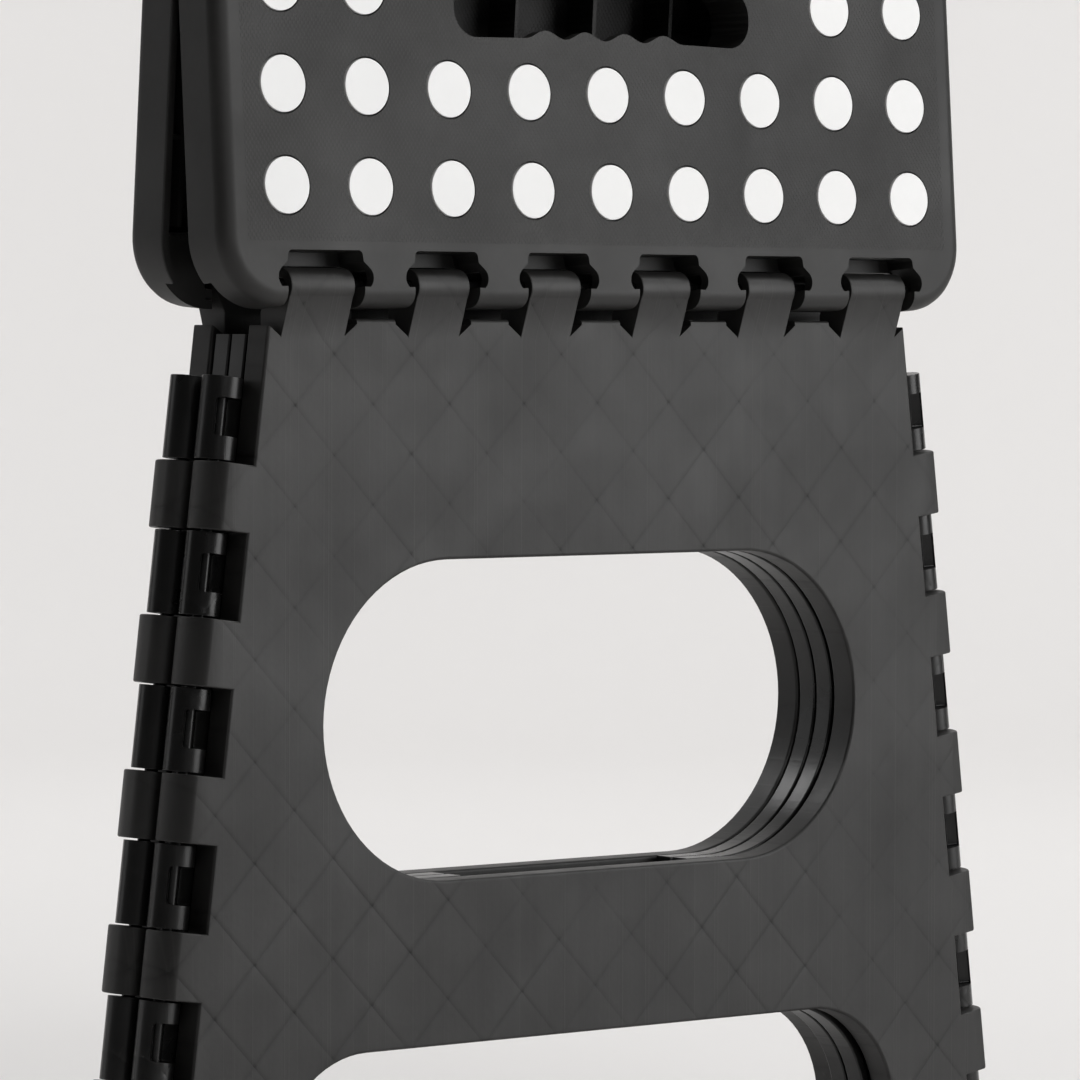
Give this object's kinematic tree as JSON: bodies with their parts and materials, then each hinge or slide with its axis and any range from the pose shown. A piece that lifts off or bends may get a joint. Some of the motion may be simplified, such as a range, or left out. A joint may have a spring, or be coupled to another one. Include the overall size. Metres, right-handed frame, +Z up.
{
  "type": "folding step stool",
  "caption": "Folding plastic step stool: a tread hinged in two halves with grip dots and a hand slot, flared legs with oval windows, and side panels that fold inward between them.",
  "frame": {"origin": "centre of the base, on the floor under the feet, in the folded upright rest pose", "axes": "+Z up; +X along the tread width, to the right seen from the front; -Y the front face, so the legs open along Y"},
  "size_m": [0.3526, 0.0486, 0.3918],
  "materials": {
    "front_grip_dots": "soft matte moulded grip, off-white",
    "front_hinge_rod": "smooth black moulded pin",
    "front_left_foot_pad": "matt black rubber",
    "front_leg": "satin moulded polypropylene with faint flow marks, dark grey",
    "front_right_foot_pad": "matt black rubber",
    "front_tread": "fine spark-eroded texture, dark grey",
    "left_fold_pin_lower": "smooth black moulded pin",
    "left_fold_pin_upper": "smooth black moulded pin",
    "left_front_column_pin": "smooth black moulded pin",
    "left_front_panel": "smooth moulded polypropylene, near black",
    "left_rear_column_pin": "smooth black moulded pin",
    "left_rear_panel": "smooth moulded polypropylene, near black",
    "rear_grip_dots": "soft matte moulded grip, off-white",
    "rear_hinge_rod": "smooth black moulded pin",
    "rear_left_foot_pad": "matt black rubber",
    "rear_leg": "satin moulded polypropylene with faint flow marks, dark grey",
    "rear_right_foot_pad": "matt black rubber",
    "rear_tread": "fine spark-eroded texture, dark grey",
    "right_fold_pin_lower": "smooth black moulded pin",
    "right_fold_pin_upper": "smooth black moulded pin",
    "right_front_column_pin": "smooth black moulded pin",
    "right_front_panel": "smooth moulded polypropylene, near black",
    "right_rear_column_pin": "smooth black moulded pin",
    "right_rear_panel": "smooth moulded polypropylene, near black",
    "tread_centre_pin_left": "smooth black moulded pin",
    "tread_centre_pin_right": "smooth black moulded pin"
  },
  "bodies": {
    "front_leg": {"front_leg": "front_leg", "front_left_foot_pad": "front_left_foot_pad", "front_right_foot_pad": "front_right_foot_pad", "front_hinge_rod": "front_hinge_rod", "left_front_column_pin": "left_front_column_pin", "right_front_column_pin": "right_front_column_pin"},
    "left_front_panel": {"left_front_panel": "left_front_panel", "left_fold_pin_upper": "left_fold_pin_upper", "left_fold_pin_lower": "left_fold_pin_lower"},
    "left_rear_panel": {"left_rear_panel": "left_rear_panel"},
    "rear_leg": {"rear_leg": "rear_leg", "rear_left_foot_pad": "rear_left_foot_pad", "rear_right_foot_pad": "rear_right_foot_pad", "rear_hinge_rod": "rear_hinge_rod", "left_rear_column_pin": "left_rear_column_pin", "right_rear_column_pin": "right_rear_column_pin"},
    "front_tread": {"front_tread": "front_tread", "front_grip_dots": "front_grip_dots", "tread_centre_pin_left": "tread_centre_pin_left", "tread_centre_pin_right": "tread_centre_pin_right"},
    "rear_tread": {"rear_tread": "rear_tread", "rear_grip_dots": "rear_grip_dots"},
    "right_front_panel": {"right_front_panel": "right_front_panel"},
    "right_rear_panel": {"right_rear_panel": "right_rear_panel", "right_fold_pin_upper": "right_fold_pin_upper", "right_fold_pin_lower": "right_fold_pin_lower"}
  },
  "joints": [
    {"name": "left_front_hinge", "type": "hinge", "parent": "front_leg", "child": "left_front_panel", "pos_m": [-0.1359, -0.0074, 0.275], "axis": [0.126, 0, 0.992], "range_deg": [0, 95]},
    {"name": "left_fold_hinge", "type": "hinge", "parent": "left_front_panel", "child": "left_rear_panel", "pos_m": [-0.04022, 0, 0.275], "axis": [-0.0014, 0, -1], "range_deg": [0, 188.11]},
    {"name": "left_rear_hinge", "type": "hinge", "parent": "left_rear_panel", "child": "rear_leg", "pos_m": [-0.1359, 0.0074, 0.275], "axis": [0.126, 0, 0.992], "range_deg": [0, 95]},
    {"name": "front_tread_hinge", "type": "hinge", "parent": "front_leg", "child": "front_tread", "pos_m": [0, -0.01746, 0.2845], "axis": [-1, 0, 0], "range_deg": [0, 78.44]},
    {"name": "rear_tread_hinge", "type": "hinge", "parent": "rear_leg", "child": "rear_tread", "pos_m": [0, 0.01746, 0.2845], "axis": [1, 0, 0], "range_deg": [0, 78.44]},
    {"name": "right_front_hinge", "type": "hinge", "parent": "front_leg", "child": "right_front_panel", "pos_m": [0.1359, -0.0074, 0.275], "axis": [0.126, 0, -0.992], "range_deg": [0, 95]},
    {"name": "right_rear_hinge", "type": "hinge", "parent": "rear_leg", "child": "right_rear_panel", "pos_m": [0.1359, 0.0074, 0.275], "axis": [-0.126, 0, 0.992], "range_deg": [0, 95]}
  ],
  "couplings": [
    {"joint": "left_fold_hinge", "follows": "left_front_hinge", "ratio": 1.9801},
    {"joint": "left_rear_hinge", "follows": "left_front_hinge", "ratio": 1},
    {"joint": "front_tread_hinge", "follows": "left_front_hinge", "ratio": 0.82568},
    {"joint": "rear_tread_hinge", "follows": "left_front_hinge", "ratio": 0.82568},
    {"joint": "right_front_hinge", "follows": "left_front_hinge", "ratio": 1},
    {"joint": "right_rear_hinge", "follows": "left_front_hinge", "ratio": 1}
  ]
}
